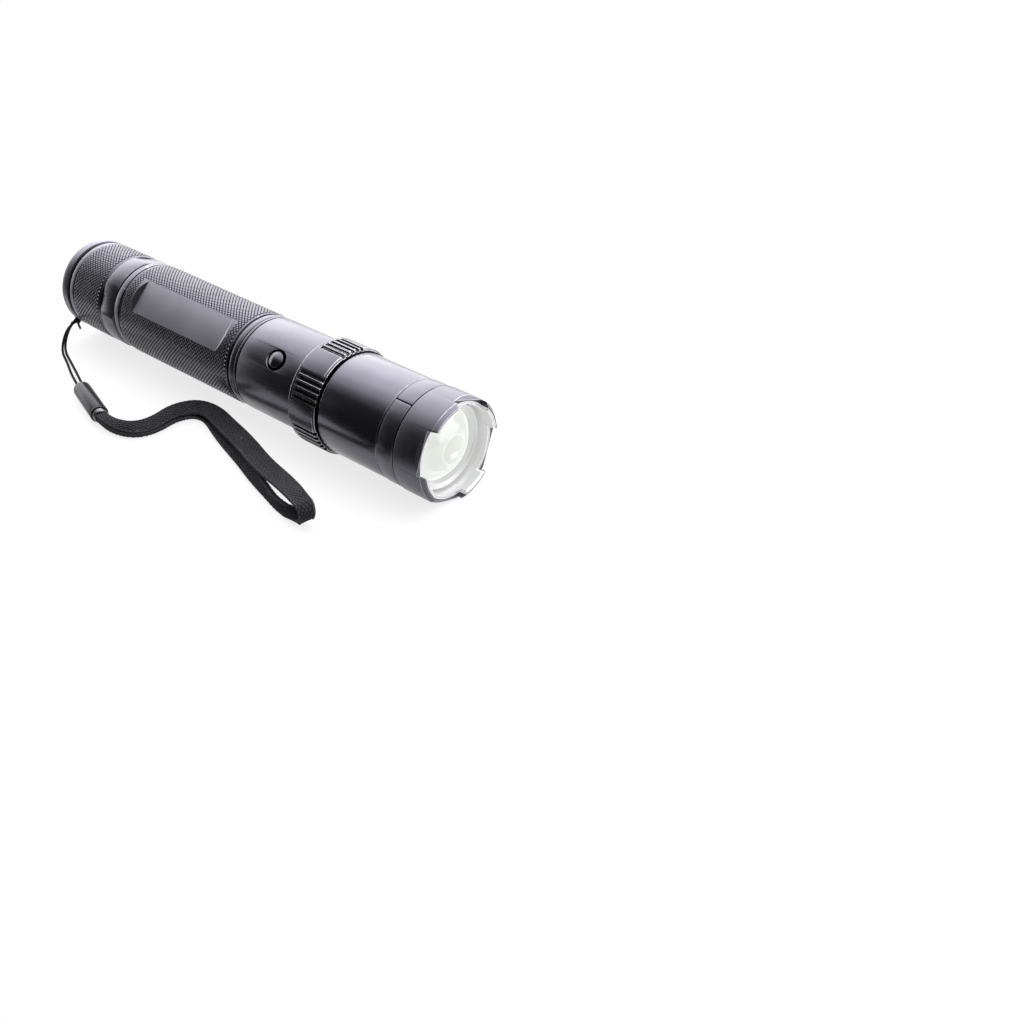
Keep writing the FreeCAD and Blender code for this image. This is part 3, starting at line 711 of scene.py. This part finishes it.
# ---- wrist strap: one ribbon, out along the top and back along the floor ----
STRAP_ROUTE = [(at(s), y * MM, 2.6 * MM) for s, y in (
    (50.7, -38.3), (57.2, -39.2), (63.6, -36.6), (65.8, -30.2), (64.6, -22.8), (67.4, -17.0),
    (74.5, -16.0), (84.5, -19.2), (96.0, -22.4), (108.0, -26.6), (120.0, -29.4), (132.6, -33.0))]
# share of the route, sideways offset, height, tilt in degrees with the far side up, width, yaw
UPPER = ((0.00, 0.0, 3.25, 0, 3.2, 0), (0.05, 0.1, 3.2, 12, 3.2, 0), (0.10, 0.5, 3.0, 30, 3.6, 0),
         (0.16, 0.15, 3.1, 40, 4.0, 0), (0.23, 0.5, 3.1, 40, 4.0, 0), (0.30, -0.2, 3.2, 26, 4.6, 0),
         (0.36, -0.4, 3.4, 14, 5.2, 0), (0.44, -0.4, 3.7, 10, 5.8, 0), (0.55, -0.2, 4.1, 6, 6.2, 0),
         (0.68, -0.35, 4.8, 4, 6.2, 0), (0.80, -0.75, 6.0, 3, 6.1, 0), (0.93, -1.25, 7.6, 4, 5.6, 0),
         (1.00, -1.6, 7.9, 9, 5.0, -10))
LOWER = ((0.98, -1.5, 1.75, 28, 3.9, -12), (0.955, -2.5, 1.95, 52, 3.8, -8), (0.93, -3.5, 2.0, 76, 3.7, -2),
         (0.88, -4.0, 2.05, 84, 3.6, 0), (0.80, -3.6, 2.2, 74, 4.0, 0), (0.74, -3.0, 2.15, 56, 4.6, 0),
         (0.68, -2.55, 2.0, 42, 5.0, 0), (0.55, -2.0, 1.75, 27, 5.4, 0), (0.44, -1.6, 1.65, 24, 5.0, 0),
         (0.36, -1.0, 1.5, 26, 4.0, 0), (0.30, -0.5, 1.45, 26, 3.6, 0), (0.23, 0.1, 1.4, 24, 3.4, 0),
         (0.16, 0.0, 1.35, 22, 3.0, 0), (0.10, 0.15, 1.4, 16, 2.8, 0), (0.05, 0.0, 1.6, 8, 3.0, 0),
         (0.00, 0.0, 1.95, 0, 3.0, 0))
TURN_BACK = 0.98        # share of the route at which the lower layer starts
FOLD_REACH = 2.8        # how far the fold at the tip stands out, mm
FOLD_STEPS = 56
FOLD_YAW = 20           # how far the fold twists on its way, degrees
LAYER = 0.95            # thickness of the webbing, mm
SPREAD_WIDTH = 5.2      # the webbing cups and thickens where it is narrower than this, mm
WELT = 0.86             # where the welt along each edge is, as a share of the half width


def smooth_keys(keys, share):
    """The keyed values at a share of the route, on a Catmull-Rom curve through the keys."""
    rows = sorted(keys)
    marks = [r[0] for r in rows]
    i = min(max(np.searchsorted(marks, share) - 1, 0), len(rows) - 2)
    t = min(max((share - marks[i]) / (marks[i + 1] - marks[i]), 0), 1)
    before, after = rows[max(i - 1, 0)], rows[min(i + 2, len(rows) - 1)]
    out = []
    for c in range(1, 6):
        p0, p1, p2, p3 = before[c], rows[i][c], rows[i + 1][c], after[c]
        curve = 2 * p0 - 5 * p1 + 4 * p2 - p3 + t * (3 * (p1 - p2) + p3 - p0)
        out.append(p1 + 0.5 * t * (p2 - p0 + t * curve))
    return out


def strap_stations():
    """Centre, across vector, normal and width of the ribbon out and back, and the route's length."""
    line, length = along([Vector(p) for p in STRAP_ROUTE], 0.2 * MM)
    ways = np.gradient(line, axis=0)
    ways /= np.linalg.norm(ways, axis=1)[:, None]
    last = len(line) - 1
    first_back = round(last * TURN_BACK)

    def placed(i, values):
        offset, height, tilt, width, yaw = values
        way = Vector(ways[i])
        left = Vector((-way.y, way.x, 0))
        flat = Matrix.Rotation(math.radians(yaw), 3, "Z") @ left
        a = math.radians(tilt)
        across = flat * math.cos(a) + Vector((0, 0, 1)) * math.sin(a)
        centre = Vector((line[i][0], line[i][1], 0)) + left * offset * MM + Vector((0, 0, height * MM))
        return centre, across, width * MM

    spots = [placed(i, smooth_keys(UPPER, i / last)) for i in range(last + 1)]
    back = [placed(i, smooth_keys(LOWER, i / last)) for i in range(first_back, -1, -1)]
    top, bottom = smooth_keys(UPPER, 1.0), smooth_keys(LOWER, TURN_BACK)
    start, end = spots[-1][0], back[0][0]
    for k in range(1, FOLD_STEPS):
        a = math.pi * k / FOLD_STEPS
        ease = (1 - math.cos(a)) / 2
        values = [top[c] + (bottom[c] - top[c]) * (ease ** 1.5 if c == 2 else ease) for c in range(5)]
        values[4] -= FOLD_YAW * math.sin(a)
        _, across, width = placed(last, values)
        centre = start.lerp(end, ease) + Vector(ways[last]) * math.sin(a) * FOLD_REACH * MM
        spots.append((centre, across, width))
    spots += back
    centres = np.array([spot[0] for spot in spots])
    tangents = np.gradient(centres, axis=0)
    for _ in range(6):
        tangents[1:-1] = (tangents[:-2] + tangents[1:-1] * 2 + tangents[2:]) / 4
    rows = []
    for (centre, across, width), tangent in zip(spots, tangents):
        tangent = Vector(tangent).normalized()
        across = (across - tangent * across.dot(tangent)).normalized()
        rows.append((centre, across, tangent.cross(across).normalized(), width))
    return rows, length


def plait(u, v):
    """Height of a flat braid, 0 to 1: yarns of two directions passing over and under."""
    crown, bow = crossing(u, v)
    return (1 - (2 * crown - 1) ** 2) ** 0.6 * (0.5 + 0.5 * math.sin(math.pi * bow))


def section(width):
    """How far the webbing cups, in metres, and how thick it is, in millimetres, at a width."""
    squeeze = min(1.0, width / (SPREAD_WIDTH * MM))
    return (1 - squeeze) * 0.8 * MM, LAYER * (1 + 0.9 * (1 - squeeze))


def ribbon():
    """Braided webbing along the strap's stations, with its two ends closed."""
    rows, length = strap_stations()
    columns, weave_pitch, weave_height, yarns_across = 30, 1.7, 0.34, 5
    selvedge, welt_height, welt_width = 0.10, 0.10, 0.06
    points = []
    total = 0.0
    previous = rows[0][0]
    for centre, across, normal, width in rows:
        total += (centre - previous).length
        previous = centre
        cup, layer = section(width)
        for side in (1, -1):
            for c in range(columns + 1):
                t = c / columns if side > 0 else 1 - c / columns
                x = (t - 0.5) * 2
                edge = max(0.0, 1 - (1 - abs(x)) / selvedge)
                half = layer / 2 * MM * math.sqrt(max(0.0, 1 - edge ** 2 * 0.92))
                weave = plait(total / (weave_pitch * MM), t * yarns_across) * weave_height * MM * (1 - edge)
                welt = welt_height * MM * math.exp(-((abs(x) - WELT) / welt_width) ** 2)
                lift = -cup * x * x + cup * 0.4
                out = lift + side * (half - 0.14 * MM + weave + welt)
                points.append(centre + across * (t - 0.5) * width + normal * out)
    ring = 2 * (columns + 1)
    last = (len(rows) - 1) * ring
    faces = tube_faces(len(rows), ring)
    faces += [tuple(reversed(range(ring))), tuple(range(last, last + ring))]
    return recalculated(mesh_object("wrist_strap_braid", points, faces, 75)), rows, length


strap, strap_rows, strap_length = ribbon()
stand_for(strap, LOOKS["webbing"], "wrist_strap")


def edge_stitches(rows):
    """Small slanted loops of paler yarn along both edges of the webbing."""
    points, faces = [], []
    pitch, first, sides, rings = 1.15 * MM, 0.6 * MM, 6, 5
    thick, half_length, bow, slant = 0.13 * MM, 0.42 * MM, 0.05 * MM, 0.35
    walked, previous, mark = 0.0, rows[0][0], first
    for i, (centre, across, normal, width) in enumerate(rows[:-1]):
        walked += (centre - previous).length
        previous = centre
        if walked < mark:
            continue
        mark += pitch
        ahead = (rows[i + 1][0] - centre).normalized()
        cup, layer = section(width)
        for edge in (-1, 1):
            for face in (1, -1):
                x = edge * WELT
                seat = centre + across * x / 2 * width + normal * (
                    -cup * x * x + cup * 0.4 + face * (layer / 2 + 0.04) * MM)
                way = (ahead + across * edge * slant).normalized()
                out = normal * face
                side = way.cross(out).normalized()
                base = len(points)
                for r in range(rings):
                    share = (r / (rings - 1) - 0.5) * 2
                    size = math.sqrt(max(0.02, 1 - share ** 2)) * thick
                    for k in range(sides):
                        a = 2 * math.pi * k / sides
                        points.append(seat + way * share * half_length + side * math.cos(a) * size
                                      + out * (math.sin(a) * size + (1 - share ** 2) * bow))
                faces += [tuple(base + i for i in quad) for quad in tube_faces(rings, sides)]
                faces.append(tuple(base + k for k in range(sides))[::-1])
                faces.append(tuple(base + (rings - 1) * sides + k for k in range(sides)))
    obj = mesh_object("wrist_strap_stitches", points, faces, 60)
    obj.data.materials.append(STITCH)
    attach(obj, "lanyard")
    return obj


stitches = edge_stitches(strap_rows)

HOLE = on_tube(LANYARD_STATION, LANYARD_ANGLE, 13.0)
for obj, line, length, pieces in ((strand_a, line_a, length_a, [knot, connector]),
                                  (strand_b, line_b, length_b, [])):
    [tuple(p) for p in line]
    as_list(pieces)

# the strap's centreline runs midway between its layers, up to half of the fold's reach
fold_rows = FOLD_STEPS // 4
strap_path = [tuple((strap_rows[i][0] + strap_rows[-1 - i][0]) / 2)
              for i in range(len(strap_rows) // 2 - fold_rows)]
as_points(strap_path)

# ---- knurled grip and tail cap ----
AROUND = 72             # diamonds round the tube
UNIT = 2 * math.pi * GRIP_R / AROUND / 4    # a quarter of a diamond, mm
KNURL_DEPTH = 0.24
PIT_DEPTH = 0.12        # how much deeper the grooves are where they cross
TOP_SHIFT = 0.4         # how far each corner of a diamond's flat top moves out, in units


def knurled(name, before, start, end, after, margin=None):
    """Ring with true diamond knurling between two stations.

    before and after are the outline's (station, radius) pairs on each side of the knurling.
    margin is the first station, last station and half angle of a plain patch at FACE_ANGLE.
    """
    rows = int(round((end - start) / UNIT / 4)) * 4
    step = (end - start) / rows
    segments = AROUND * 4
    outline = list(before) + [None] * (rows + 1) + list(after)
    count, first = len(outline), len(before)
    points, faces = [], []
    for k in range(segments):
        for i, p in enumerate(outline):
            if p:
                points.append(on_tube(p[0], 360 * k / segments, p[1]))
                continue
            j = i - first
            total, apart = (k + j) % 4, (k - j) % 4
            station, turn, height = start + j * step, float(k), GRIP_R
            if (k + j) % 2 == 0:
                if not (total == 2 and apart == 2):
                    height = GRIP_R - KNURL_DEPTH
                    if 0 < j < rows and total == 0 and apart == 0:
                        height -= PIT_DEPTH
            else:
                # the flat top's corner moves out from the diamond's middle
                for dk, dj in ((1, 0), (-1, 0), (0, 1), (0, -1)):
                    if (k + dk + j + dj) % 4 == 2 and (k + dk - j - dj) % 4 == 2:
                        turn -= dk * TOP_SHIFT
                        if 0 < j < rows:
                            station -= dj * step * TOP_SHIFT
            if j in (0, rows):
                height = GRIP_R - KNURL_DEPTH
            beside = abs((360 * k / segments - FACE_ANGLE + 180) % 360 - 180)
            if margin and margin[0] < station < margin[1] and beside < margin[2]:
                height = GRIP_R
            points.append(on_tube(station, 360 * turn / segments, height))
    for k in range(segments):
        low, high = k * count, (k + 1) % segments * count
        for i in range(count):
            n = (i + 1) % count
            j = i - first
            a, b, c, d = low + i, low + n, high + n, high + i
            if 0 <= j < rows:
                # the corners a and c have the parity of k + j, b and d the other
                even_pair_is_ac = (k + j) % 2 == 0
                pair = ((k, j), (k + 1, j + 1)) if even_pair_is_ac else ((k, j + 1), (k + 1, j))
                on_top = any((x + y) % 4 == 2 and (x - y) % 4 == 2 for x, y in pair)
                if even_pair_is_ac != on_top:
                    faces += [(a, b, c), (a, c, d)]
                else:
                    faces += [(a, b, d), (b, c, d)]
            else:
                faces.append((a, b, c, d))
    return mesh_object(name, points, faces, 24)


def flat_cutter():
    """Prism with ramped ends that mills the grip's flat."""
    rise, ramp, half = 2.0, 3.2, 8.0
    side = [(FLAT_START, FLAT_R), (FLAT_END, FLAT_R), (FLAT_END + ramp, FLAT_R + rise),
            (FLAT_START - ramp, FLAT_R + rise)]
    across = around(FACE_ANGLE).cross(Vector((1, 0, 0)))
    points = [on_tube(station, FACE_ANGLE, radius) + across * reach * MM
              for reach in (-half, half) for station, radius in side]
    faces = [(0, 1, 2, 3), (7, 6, 5, 4), (0, 4, 5, 1), (1, 5, 6, 2), (2, 6, 7, 3), (3, 7, 4, 0)]
    return recalculated(mesh_object("flat_cutter", points, faces))


def grip():
    """Knurled tube with a threaded neck at each end and one milled flat."""
    thread = []
    for middle in THREAD_AT:
        thread += [(middle - THREAD_HALF, NECK_R), (middle - THREAD_HALF / 2, THREAD_R),
                   (middle + THREAD_HALF / 2, THREAD_R), (middle + THREAD_HALF, NECK_R)]
    rear_neck = [(79.4, BORE_R), (27.2, BORE_R), (8.6, BORE_R), (8.6, NECK_R - 0.4), (9.0, NECK_R)] + thread
    rear_neck += [(17.7, NECK_R), (17.7, SEAL_R), (18.9, SEAL_R), (18.9, NECK_R), (27.2, NECK_R)]
    rear_lips = [
        (27.2, 13.5), (27.28, 13.66), (27.5, LIP_R), (29.22, LIP_R), (29.3, 13.67), (29.3, GROOVE_R),
        (29.8, GROOVE_R), (29.8, 13.67), (29.88, LIP_R), (30.35, LIP_R), (30.5, 13.7)]
    front = [
        (79.0, 13.7), (79.1, LIP_R), (79.32, LIP_R), (79.4, 13.67), (79.4, GROOVE_R), (80.1, GROOVE_R),
        (80.1, NECK_R), (84.0, NECK_R), (84.0, SEAL_R), (85.2, SEAL_R), (85.2, NECK_R), (86.1, NECK_R),
        (86.5, NECK_R - 0.4), (86.5, BORE_R)]
    obj = recalculated(knurled("grip_knurled", rear_neck + rear_lips, 30.6, 78.9, front,
                               margin=(FLAT_START - 2.2, FLAT_END + 2.2, 23.0)))
    cut(obj, flat_cutter())
    colour_flat(obj)
    shade(obj, 24)
    return obj


def colour_flat(obj):
    """Gives the milled floor and its two ramps their own materials: the rear ramp is painted dark as shade,
    the front ramp pale as a painted highlight.
    """
    n = around(FACE_ANGLE)
    ramp_lean, ramp_x = 0.83, 0.53      # parts of a ramp's normal outwards and along the tube
    obj.data.materials.clear()
    for look in (LOOKS["anodised_knurl"], MILLED, PAINTED_SHADE_RAMP, PAINTED_HIGHLIGHT_RAMP):
        obj.data.materials.append(look)
    for face in obj.data.polygons:
        out = (face.center - AXIS - Vector((face.center.x - AXIS.x, 0, 0))).dot(n)
        lean = face.normal.dot(n)
        if (FLAT_R - 0.02) * MM < out < (GRIP_R + 0.02) * MM:
            if lean > 0.9999:
                face.material_index = 1
            elif abs(lean - ramp_lean) < 0.03 and abs(abs(face.normal.x) - ramp_x) < 0.01:
                # the rear ramp takes the painted shade, the front ramp the painted highlight
                face.material_index = 2 if face.normal.x > 0 else 3


stand_for(grip(), None, "battery_tube")

cap = recalculated(knurled("tail_cap_knurled", [
    (8.0, 12.65), (8.0, 10.6), (5.3, 10.6), (5.3, 9.0), (3.5, 9.0), (3.5, 12.9), (4.2, 12.9),
    (4.2, 13.2), (4.3, 13.36), (4.9, 13.84), (5.05, 13.9), (6.4, 13.9), (6.6, 13.8)], 6.8, 19.3, [
    (19.4, 13.72), (19.5, 13.72), (19.7, 13.66), (19.92, 13.56), (20.0, 13.46), (20.0, 12.65)]))
shade(cap, 24)
stand_for(cap, LOOKS["anodised_knurl"], "tail_cap")

# ---- the other turned pieces: the frame's own shapes with rounded edges ----
OWN_LOOKS = {"focus_ring": [RIBBED, BRIGHT_EDGE], "bezel": [BEZEL, BEZEL_EDGE],
             "bezel_trim_ring": [LOOKS["polished_trim"], TRIM_EDGE],
             "head_band": [LOOKS["anodised_black"], LOOKS["anodised_black"]]}
for node, width in (("anti_roll_ring", 0.10), ("switch_housing", 0.07), ("focus_ring", 0.08),
                    ("head_tube", 0.16), ("head_band", 0.06), ("bezel", 0.08), ("bezel_trim_ring", 0.07),
                    ("tail_plug", 0.10)):
    piece = softened(node, width)
    plain = LOOKS[NODES[node].data.materials[0].name]
    low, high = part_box(node)
    if node == "anti_roll_ring":
        # a little narrower, for a visible gap on each side
        middle = (low.x + high.x) / 2
        for v in piece.data.vertices:
            v.co.x = middle + (v.co.x - middle) * 0.95
    if node == "bezel":
        # the edge beside the band stays dark
        for face in piece.data.polygons:
            if face.center.x < low.x + 2.0 * MM:
                face.material_index = 0
    stand_for(piece, OWN_LOOKS.get(node, [plain, SOFT_EDGE]), node)


def tail_ring():
    """Rounded end ring with the lanyard hole through its wall."""
    low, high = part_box("lanyard_ring")
    end, corner, corner_steps, segments = (high.x - low.x) / MM, 1.3, 8, 192
    outline = [(end, 9.4), (0.6, 9.4), (0.0, 10.2)]
    for k in range(corner_steps + 1):
        a = math.pi / 2 * k / corner_steps
        outline.append((corner - corner * math.cos(a), TAIL_R - corner + corner * math.sin(a)))
    outline += [(end - 0.25, TAIL_R), (end - 0.06, TAIL_R - 0.06), (end, TAIL_R - 0.25)]
    obj = turned("tail_ring", outline, segments,
                 lambda station, radius, k: on_tube(station, 360 * k / segments, radius))
    side = around(LANYARD_ANGLE).cross(Vector((1, 0, 0)))
    sides, hole_r = 24, 1.0
    points = []
    for reach in (8.0, 16.0):
        for k in range(sides):
            a = 2 * math.pi * k / sides
            points.append(on_tube(LANYARD_STATION, LANYARD_ANGLE, reach)
                          + (Vector((1, 0, 0)) * math.cos(a) + side * math.sin(a)) * hole_r * MM)
    faces = tube_faces(2, sides) + [tuple(range(sides)), tuple(reversed(range(sides, 2 * sides)))]
    cut(obj, recalculated(mesh_object("drill", points, faces)))
    shade(obj, 30)
    return obj


stand_for(tail_ring(), TAIL_RIM, "lanyard_ring")


def push_button():
    """Domed cap that stands a little proud of its countersunk hole."""
    low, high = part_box("button_cap")
    seat = Vector(((low.x + high.x) / 2, 0, AXIS.z))
    n, forward = around(FACE_ANGLE), Vector((1, 0, 0))
    across = n.cross(forward)
    segments, edge_steps, dome_steps = 64, 4, 10
    foot, edge, top = 11.2, 13.95, 14.8         # distances from the torch's axis, mm
    wide, corner, rise = 2.35, 0.22, 0.15       # the button's radius and the size of its rounded edge, mm
    outline = [(foot, wide), (13.55, wide)]
    for k in range(1, edge_steps + 1):
        a = math.pi / 2 * k / edge_steps
        outline.append((edge - rise + 2 * rise * math.sin(a), wide - corner + corner * math.cos(a)))
    for k in range(1, dome_steps):
        left = 1 - k / dome_steps
        outline.append((edge + rise + (top - edge - rise) * (1 - left ** 2), (wide - corner) * left))
    points, faces = [], []
    for k in range(segments):
        a = 2 * math.pi * k / segments
        turn = forward * math.cos(a) + across * math.sin(a)
        points += [seat + n * distance * MM + turn * reach * MM for distance, reach in outline]
    count = len(outline)
    base, tip = len(points), len(points) + 1
    points += [seat + n * foot * MM, seat + n * top * MM]
    for k in range(segments):
        here, there = k * count, (k + 1) % segments * count
        faces += [(here + i, here + i + 1, there + i + 1, there + i) for i in range(count - 1)]
        faces += [(base, here, there), (there + count - 1, here + count - 1, tip)]
    obj = recalculated(mesh_object("push_button", points, faces, 40))
    shade(obj, 40)
    return obj


stand_for(push_button(), LOOKS["button_metal"], "button_cap")

# ---- every other node keeps its shape and takes a finished material ----
for name, node in NODES.items():
    for i, m in enumerate(node.data.materials):
        if m.name in LOOKS:
            node.data.materials[i] = CARRIER if name == "lens_carrier" else LOOKS[m.name]


# ---- floor, studio and light ----
def make_floor():
    """White floor that ends a little in front of the torch, which keeps the torch's front dark."""
    side, front, rear, level = 0.30, -0.054, 0.30, -2e-5
    floor = mesh_object("floor", [(-side, front, level), (side, front, level), (side, rear, level),
                                  (-side, rear, level)], [(0, 1, 2, 3)])
    made, nodes, links, shader, place = material("pale_floor")
    grain = noise(nodes, links, place, 40.0, 2.0)
    base = mixed(nodes, links, spread(nodes, links, grain, 0, 1),
                 (0.150, 0.150, 0.152), (0.156, 0.156, 0.158))
    links.new(base, shader.inputs["Base Color"])
    shader.inputs["Roughness"].default_value = 0.9
    shader.inputs["Specular IOR Level"].default_value = 0.1
    shader.inputs["Emission Color"].default_value = (1, 1, 1, 1)
    shader.inputs["Emission Strength"].default_value = 0.78
    floor.data.materials.append(made)


def make_studio():
    """A bright overhead cove that reaches down behind the torch, with a dark front; seen as plain white."""
    top, rear_level = 5.3, 3.6
    # angle round the torch from +Z towards +Y, in degrees, and brightness
    stops = ((-90, 0.05), (-46, 0.08), (-34, 0.5), (-14, 2.0), (8, 3.7), (46, 5.3), (86, 3.7), (100, 2.2))
    world = bpy.data.worlds.new("studio")
    bpy.context.scene.world = world
    world.use_nodes = True
    nodes, links = world.node_tree.nodes, world.node_tree.links
    back = nodes["Background"]
    place = nodes.new("ShaderNodeTexCoord")
    parts = nodes.new("ShaderNodeSeparateXYZ")
    links.new(place.outputs["Generated"], parts.inputs[0])
    turn = calculated(nodes, links, "ARCTAN2", parts.outputs["Y"], parts.outputs["Z"])
    share = nodes.new("ShaderNodeMapRange")
    share.inputs["From Min"].default_value = -math.pi
    share.inputs["From Max"].default_value = math.pi
    links.new(turn, share.inputs["Value"])
    ramp = nodes.new("ShaderNodeValToRGB")
    ramp.color_ramp.interpolation = "EASE"
    while len(ramp.color_ramp.elements) < len(stops):
        ramp.color_ramp.elements.new(0.5)
    for element, (degrees, level) in zip(ramp.color_ramp.elements, stops):
        element.position = (degrees + 180) / 360
        tone = level / top
        element.color = (tone * 0.985, tone * 0.975, tone, 1)
    links.new(share.outputs["Result"], ramp.inputs["Fac"])
    behind = spread(nodes, links, parts.outputs["X"], 1.0, 0.0, -0.96, -0.84)
    lit = mixed(nodes, links, behind, ramp.outputs["Color"], (rear_level / top,) * 3)
    links.new(lit, back.inputs["Color"])
    back.inputs["Strength"].default_value = top
    plain = nodes.new("ShaderNodeBackground")
    plain.inputs["Color"].default_value = (1, 1, 1, 1)
    plain.inputs["Strength"].default_value = 1.0
    path = nodes.new("ShaderNodeLightPath")
    join = nodes.new("ShaderNodeMixShader")
    links.new(path.outputs["Is Camera Ray"], join.inputs["Fac"])
    links.new(back.outputs[0], join.inputs[1])
    links.new(plain.outputs[0], join.inputs[2])
    links.new(join.outputs[0], nodes["World Output"].inputs["Surface"])
    bpy.context.scene.view_settings.view_transform = "Standard"


make_floor()
make_studio()
